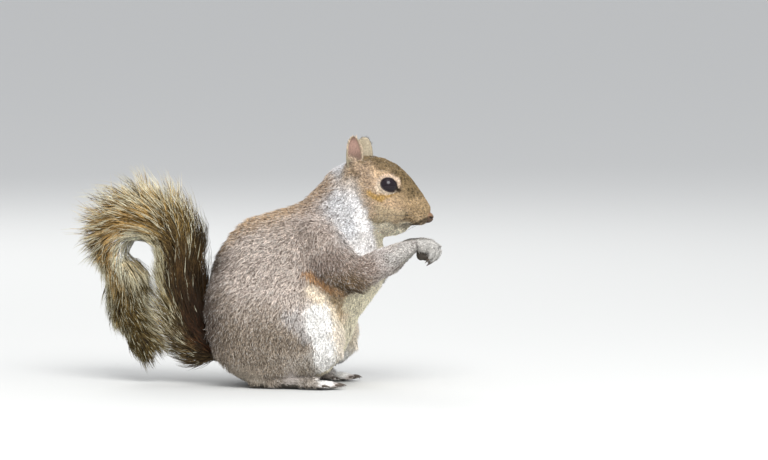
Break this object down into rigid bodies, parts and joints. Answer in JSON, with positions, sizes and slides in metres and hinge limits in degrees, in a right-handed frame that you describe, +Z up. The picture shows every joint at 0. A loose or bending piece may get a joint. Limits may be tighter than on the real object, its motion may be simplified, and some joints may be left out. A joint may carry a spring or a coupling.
{
  "type": "squirrel",
  "caption": "Life-size still model of an eastern grey squirrel sitting up on its haunches, hands held before its mouth, bushy tail raised and curled over behind.",
  "frame": {"origin": "on the floor, under the middle of the whole animal", "axes": "+X where the squirrel faces, +Y its left side, +Z up"},
  "size_m": [0.2499, 0.0888, 0.1656],
  "materials": {
    "coat_grey": "short agouti fur, salt-and-pepper grey",
    "coat_face": "very short buff-brown fur",
    "coat_pale": "short pale grey fur",
    "brush": "long banded tail hair, brown and black with pale tips",
    "bare_skin": "thinly haired pink skin",
    "nose_skin": "bare brown skin, slightly damp",
    "eye": "wet, near-black"
  },
  "bodies": {
    "root": {"head": "coat_face", "neck": "coat_grey", "trunk": "coat_grey", "nose": "nose_skin", "eye_left": "eye", "eye_right": "eye", "ear_left": "bare_skin", "ear_right": "bare_skin", "upper_arm_left": "coat_grey", "upper_arm_right": "coat_grey", "forearm_left": "coat_grey", "forearm_right": "coat_grey", "hand_left": "coat_pale", "hand_right": "coat_pale", "thigh_left": "coat_grey", "thigh_right": "coat_grey", "shank_left": "coat_grey", "shank_right": "coat_grey", "foot_left": "coat_pale", "foot_right": "coat_pale", "tail_root": "brush", "tail_rise": "brush", "tail_arch": "brush", "tail_turn": "brush", "tail_tip": "brush"}
  },
  "joints": []
}
